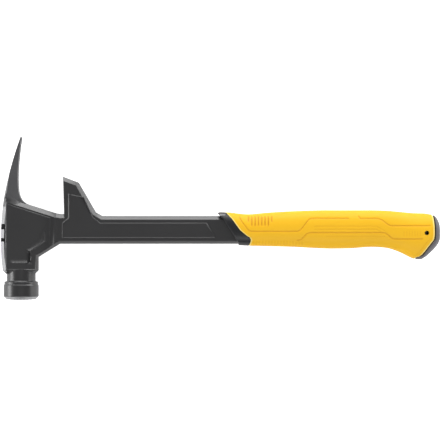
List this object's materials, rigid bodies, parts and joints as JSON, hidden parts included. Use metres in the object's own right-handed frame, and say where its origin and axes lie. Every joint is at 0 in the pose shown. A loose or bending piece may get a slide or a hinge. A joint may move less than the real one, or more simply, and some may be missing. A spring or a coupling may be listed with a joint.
{
  "type": "framing hammer",
  "caption": "Framing hammer with a rip claw, milled poll, magnetic nail starter, board jaw on the shank and a soft two-material grip.",
  "frame": {"origin": "middle of the bounding box's bottom, on the surface that the hammer lies on, flat on its side", "axes": "+X runs from the head's crown to the butt of the grip, +Y from the striking face to the claw's tips, +Z is the thickness"},
  "size_m": [0.406, 0.151, 0.0325],
  "materials": {
    "forged_black": "satin black coating over forged steel, with the milled face bare",
    "weld_black": "weld ground flush and coated satin black",
    "magnet": "plated magnet",
    "core_black": "matt black moulded plastic",
    "grip_yellow": "fine-grained yellow soft grip",
    "cap_black": "satin black moulded plastic"
  },
  "bodies": {
    "root": {"head_forging": "forged_black", "shank_forging": "forged_black", "neck_weld": "weld_black", "nail_start_magnet": "magnet", "grip_core": "core_black", "soft_grip": "grip_yellow", "butt_cap": "cap_black"}
  },
  "joints": []
}
